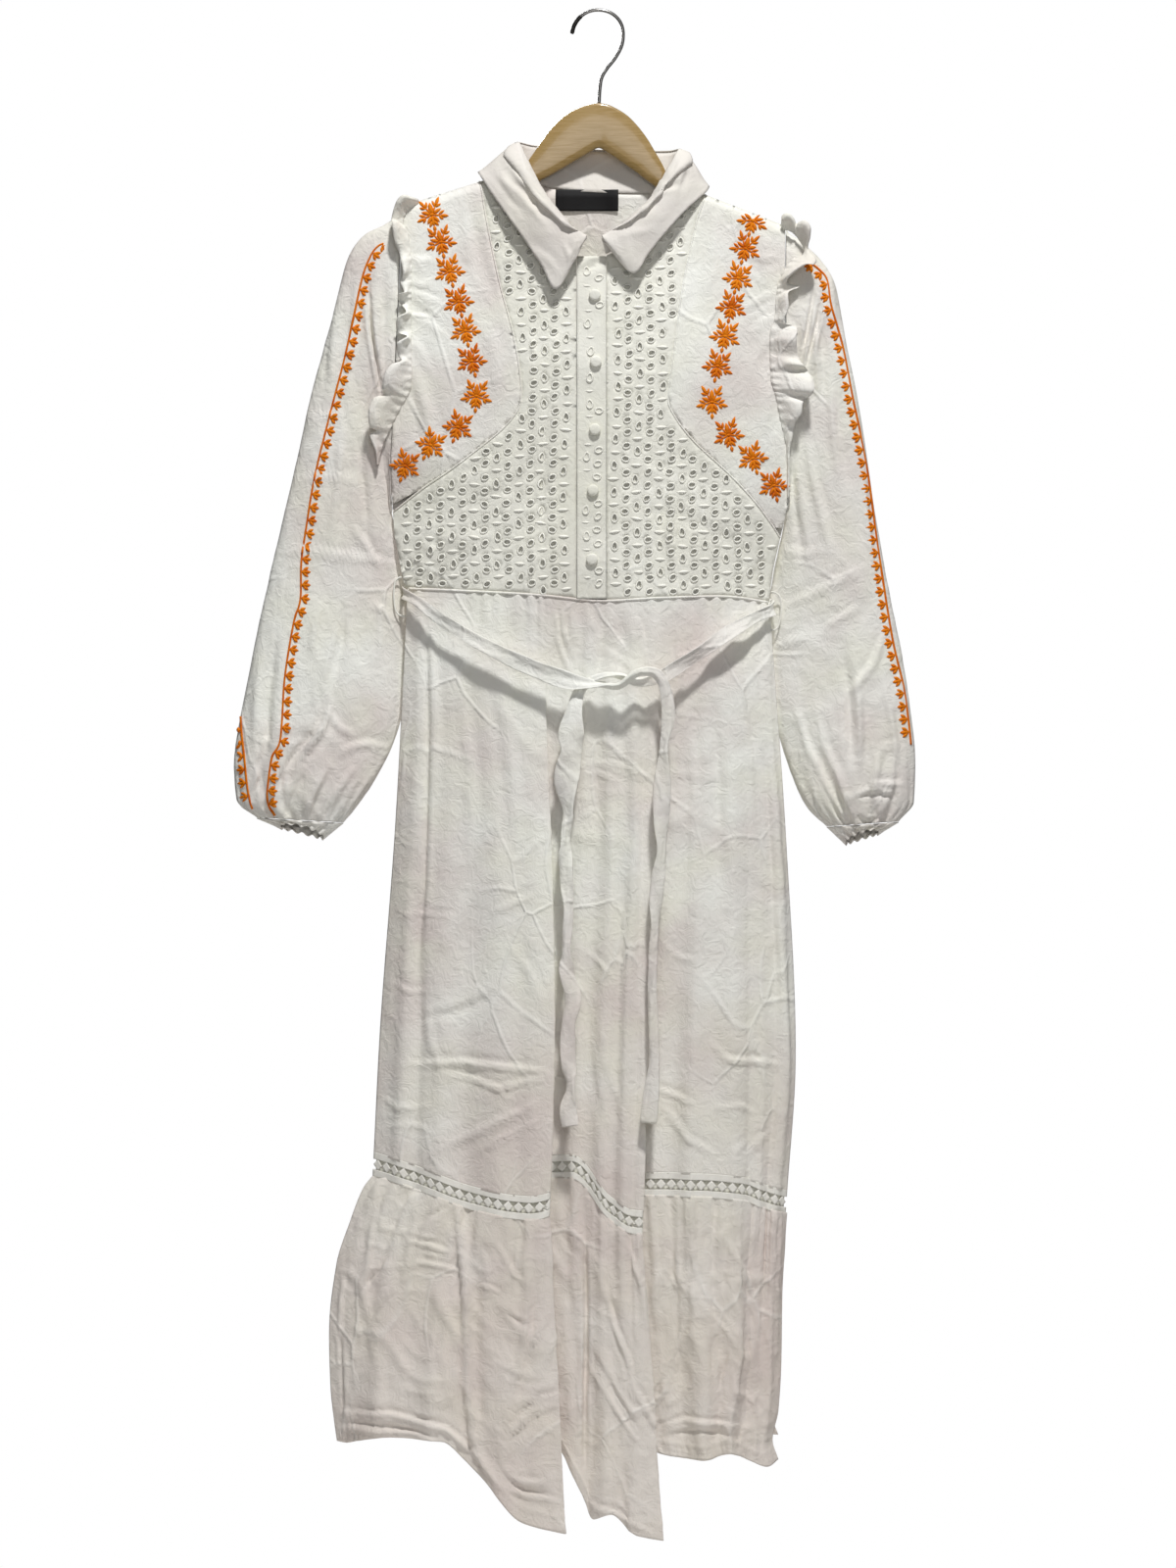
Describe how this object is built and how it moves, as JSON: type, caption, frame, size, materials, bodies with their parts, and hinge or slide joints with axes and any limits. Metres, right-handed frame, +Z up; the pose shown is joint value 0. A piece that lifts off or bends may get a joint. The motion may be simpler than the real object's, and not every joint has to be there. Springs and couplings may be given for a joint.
{
  "type": "maxi dress on hanger",
  "caption": "Long white shirt-collar dress with eyelet bodice, frilled armholes, full sleeves, tie belt and gathered hem flounce, hanging from a wooden hanger",
  "frame": {"origin": "inside top of the hanger's hook, where a rail carries it", "axes": "+Z up, +X to the right seen from the front of the dress, -Y out of the front of the dress"},
  "size_m": [0.6959, 0.1104, 1.5568],
  "materials": {
    "beech": "varnished",
    "hook_wire": "bright wire",
    "label_black": "woven",
    "eyelet_cotton": "embroidered cotton with cut eyelets",
    "crochet_lace": "cotton lace",
    "white_voile": "crumpled plain weave"
  },
  "bodies": {
    "root": {"hanger_wood": "beech", "hanger_hook": "hook_wire", "neck_label": "label_black", "bodice_front_left": "eyelet_cotton", "bodice_front_right": "eyelet_cotton", "placket_over": "eyelet_cotton", "placket_under": "eyelet_cotton", "lace_front": "crochet_lace", "lace_back": "crochet_lace", "side_front_left": "white_voile", "side_front_right": "white_voile", "bodice_back": "white_voile", "button_1": "white_voile", "button_2": "white_voile", "button_3": "white_voile", "button_4": "white_voile", "button_5": "white_voile", "collar_stand": "white_voile", "collar_leaf": "white_voile", "ruffle_left": "white_voile", "ruffle_right": "white_voile", "sleeve_left": "white_voile", "sleeve_right": "white_voile", "cuff_left": "white_voile", "cuff_right": "white_voile", "skirt_front": "white_voile", "skirt_back": "white_voile", "flounce_front": "white_voile", "flounce_back": "white_voile", "belt_loop_left": "white_voile", "belt_loop_right": "white_voile", "tie_belt": "white_voile"}
  },
  "joints": []
}
